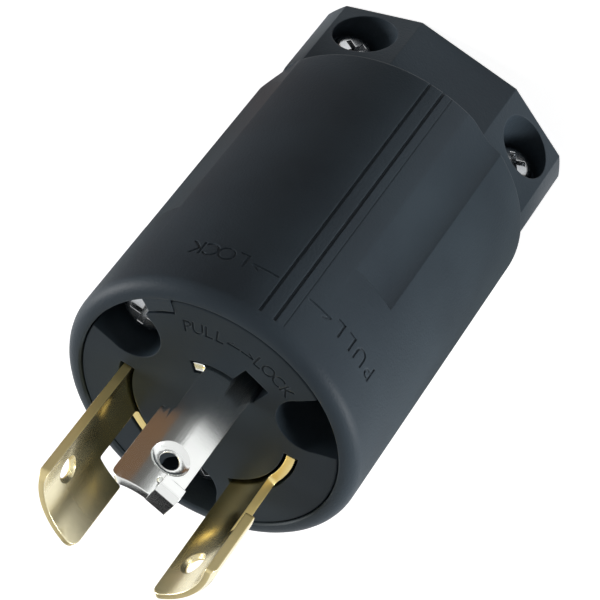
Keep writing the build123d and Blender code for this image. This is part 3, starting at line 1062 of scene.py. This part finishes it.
# %% Screws
def cross_cutter(reach, width, depth):
    """Cross that narrows downwards, its top at z = 0."""
    arms = []
    for quarter in (0, 1):
        arm = bmesh.new()
        bmesh.ops.create_cube(arm, size=1)
        bmesh.ops.scale(arm, vec=(2 * reach, width, depth), verts=arm.verts)
        bmesh.ops.translate(arm, verts=arm.verts, vec=(0, 0, -depth / 2))
        low = [v for v in arm.verts if v.co.z < -depth / 2]
        bmesh.ops.scale(arm, vec=(0.45, 0.6, 1), verts=low)
        arms.append(placed(arm, rotation(90 * quarter, "Z")))
    return join(*arms)


def screw(name, frame_of_head, head, height, shank, length, spin_turn):
    """Pan-head screw whose seat is at its frame's origin."""
    body = turned(
        ((0, -length), (shank, -length), (shank, 0), (head, 0), (head, height), (0, height)),
        rounds=((1, 0.4), (4, height * 0.6)),
        steps=96,
    )
    cross = cross_cutter(head * 0.55, head * 0.24, height * 0.75)
    bmesh.ops.translate(cross, verts=cross.verts, vec=(0, 0, height + 0.01))
    body = placed(cut(body, cross), frame_of_head @ rotation(spin_turn, "Z"))
    finish_piece(body, name + "_turned", ZINC, nodes=[name])


ASSEMBLY_SCREW = {"head": 3.45, "height": 2.9, "shank": 1.95}
ASSEMBLY_SCREW_END = 26.0
CLAMP_SCREW = {"head": 2.9, "height": 2.1, "shank": 1.75, "length": 14.9}
for number, turn in enumerate(SCREW_TURNS, start=1):
    seat = LEDGE if number == 3 else FACE - RECESS_DEPTH
    screw(
        f"assembly_screw_{number}",
        upright(turn, SCREW_CIRCLE, seat),
        length=seat - ASSEMBLY_SCREW_END,
        spin_turn=20 * number,
        **ASSEMBLY_SCREW,
    )
for number, side in enumerate((-1, 1), start=1):
    screw(f"clamp_screw_{number}", clamp_frame(side), spin_turn=32 * number, **CLAMP_SCREW)

# %% [markdown]
# What is left lies inside or in the shadow of the cord's hole. The CAD nodes there stay as they
# are and only get a finish.

# %% Pieces inside
INSIDE = {
    "terminal_carrier": (CARRIER, "carrier"),
    "cord_saddle": (HOUSING, "saddle"),
    "clamp_nut_1": (ZINC, "screw"),
    "clamp_nut_2": (ZINC, "screw"),
}
for number in (1, 2, 3):
    INSIDE[f"terminal_screw_{number}"] = (ZINC, "screw")
    INSIDE[f"terminal_clamp_{number}"] = (ZINC, "screw")
    INSIDE[f"threaded_bush_{number}"] = (TURNED_BRASS, "bush")
for node, (material, slot_name) in INSIDE.items():
    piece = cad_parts[node]
    piece.data.materials.clear()
    piece.data.materials.append(material)
print("inside:", len(INSIDE), "nodes")

# %% [markdown]
# The plug stands on a plain white floor in front of a white world. The camera, the mirror rays
# and the clear rays see a world of strength 1, which is white, and all other light from it is
# weaker. In the same way the floor glows for those rays and keeps a part that takes light, so
# that it shows the plug's shadow, while it is a plain pale surface for all other rays.


# %% Floor and world
def seen_rays(wiring):
    """1 for the rays that see the background: camera, clear and mirror rays."""
    rays = wiring.add("ShaderNodeLightPath").outputs
    direct = wiring.math("MAXIMUM", rays["Is Camera Ray"], rays["Is Transmission Ray"])
    return wiring.math("MAXIMUM", direct, rays["Is Glossy Ray"])


floor_mesh = bmesh.new()
under = Matrix.Translation((0, 0, -0.02 * MM))
bmesh.ops.create_grid(floor_mesh, x_segments=1, y_segments=1, size=2.0, matrix=under)
floor = to_object(floor_mesh, "floor")
floor_material, w, shader = start_material("Floor")
shader.inputs["Base Color"].default_value = (0.6, 0.6, 0.6, 1)
shader.inputs["Roughness"].default_value = 0.9
glow = w.add("ShaderNodeEmission", Color=(1, 1, 1, 1), Strength=0.8)
shadowed = w.add("ShaderNodeBsdfDiffuse", Color=(0.75, 0.75, 0.75, 1))
both = w.tree.nodes.new("ShaderNodeAddShader")
w.link(glow.outputs["Emission"], both.inputs[0])
w.link(shadowed.outputs["BSDF"], both.inputs[1])
choice = w.tree.nodes.new("ShaderNodeMixShader")
w.link(seen_rays(w), choice.inputs[0])
w.link(shader.outputs["BSDF"], choice.inputs[1])
w.link(both.outputs["Shader"], choice.inputs[2])
floor_output = floor_material.node_tree.nodes["Material Output"]
w.link(choice.outputs["Shader"], floor_output.inputs["Surface"])
floor.data.materials.append(floor_material)
print("floor:", floor.name)

world = bpy.data.worlds.new("Studio")
bpy.context.scene.world = world
world.use_nodes = True
w = Wiring(world.node_tree)
background = world.node_tree.nodes["Background"]
background.inputs["Color"].default_value = (1, 1, 1, 1)
w.link(w.span(seen_rays(w), 0.0, 1.0, 0.15, 1.0), background.inputs["Strength"])
print("world:", world.name)

# %% [markdown]
# The lamps are large soft boxes: the key at the side that is lit, and the fill on the other
# side, where it draws a light band along the rim's round. Each is placed by the direction it
# shines from, which is a turn round the plug and a height for each unit of distance.

# %% Lamps
MIDDLE = Vector((0, 0, 0.04))


def soft_box(name, direction, distance, size, power):
    """Square lamp that looks at the plug's middle."""
    lamp = bpy.data.lights.new(name, "AREA")
    lamp.shape = "SQUARE"
    lamp.size = size
    lamp.energy = power
    holder = bpy.data.objects.new(name, lamp)
    bpy.context.scene.collection.objects.link(holder)
    towards = Vector(direction).normalized()
    holder.location = MIDDLE + towards * distance
    holder.rotation_euler = towards.to_track_quat("Z", "Y").to_euler()


soft_box("key", spot(-74, 1, 0.08), 0.6, 0.25, 3.7)
soft_box("fill", spot(110, 1, 0.35), 0.7, 0.3, 3.8)
print("lamps:", len(bpy.data.lights))

# %% [markdown]
# A polished blade shows what stands around it, and white on all sides leaves it flat. So cards
# of several tones lie on the floor round the plug, each over its own range of turns, and one
# dark card hangs behind the blades, higher than their tips. They glow in their own tone, so
# that no lamp changes it, and only mirror rays see them: they are painted reflections, brown,
# grey and dark, in the blades and the plastic.


# %% Cards
def painted_reflection_card(name, mesh, colour):
    """Glowing card of one tone that only mirror rays see: a painted reflection."""
    card = to_object(mesh, name)
    material = bpy.data.materials.new(name)
    material.use_nodes = True
    shader = material.node_tree.nodes["Principled BSDF"]
    shader.inputs["Base Color"].default_value = (0, 0, 0, 1)
    shader.inputs["Specular IOR Level"].default_value = 0.0
    shader.inputs["Emission Color"].default_value = colour
    shader.inputs["Emission Strength"].default_value = 1.0
    card.data.materials.append(material)
    for ray in ("camera", "diffuse", "transmission", "shadow", "volume_scatter"):
        setattr(card, "visible_" + ray, False)


high_card = raised(oblong(-9, 6, 28, 29), 82, 132)
# Painted reflections: each card's glowing tone shows only in mirror rays, and the high card is a
# dark one.
CARDS = (
    ("brown_card", ring_block(24, 260, 33, 118, 1, 2), shade(122, 95, 72)),
    ("grey_card", ring_block(24, 260, 16, 33, 1, 2), shade(106, 105, 103)),
    ("pale_card", ring_block(24, 260, 2, 16, 1, 2), shade(158, 159, 158)),
    ("olive_card", ring_block(24, 85, 118, 245, 1, 2), shade(88, 84, 66)),
    ("short_card", ring_block(24, 72, 245, 330, 1, 2), shade(96, 92, 72)),
    ("high_card", high_card, shade(10, 8, 12)),
)
for name, mesh, colour in CARDS:
    painted_reflection_card(name, placed(mesh, Matrix.Scale(MM, 4)), colour)
print("cards:", len(CARDS))

# %% [markdown]
# The photograph looks down on the plug from the top side, with the camera turned on its side.
# So the camera is set by its distance, the turn and the elevation it looks from, and a roll
# about its own axis. The place of the picture's middle is on the plug, a little off its axis.

# %% Camera
FOCAL_PIXELS = 2816.6
PICTURE_PIXELS = 600
VIEW_TURN = -2
ELEVATION = 39.8
ROLL = 216.65
camera_data = bpy.data.cameras.new("camera")
camera_data.sensor_width = 36.0
camera_data.lens = FOCAL_PIXELS / PICTURE_PIXELS * camera_data.sensor_width
camera_data.clip_start = 0.01
camera = bpy.data.objects.new("camera", camera_data)
bpy.context.scene.collection.objects.link(camera)
place = spot(VIEW_TURN, 261.8, RIM + 195.8) + spot(VIEW_TURN - 90, 0.7)
camera.matrix_world = (
    Matrix.Translation(place * MM)
    @ rotation(VIEW_TURN, "Z")
    @ rotation(90 - ELEVATION, "X")
    @ rotation(ROLL, "Z")
)
bpy.context.scene.camera = camera
bpy.context.scene.view_settings.view_transform = "Standard"
print("lens", round(camera_data.lens, 1), "mm")
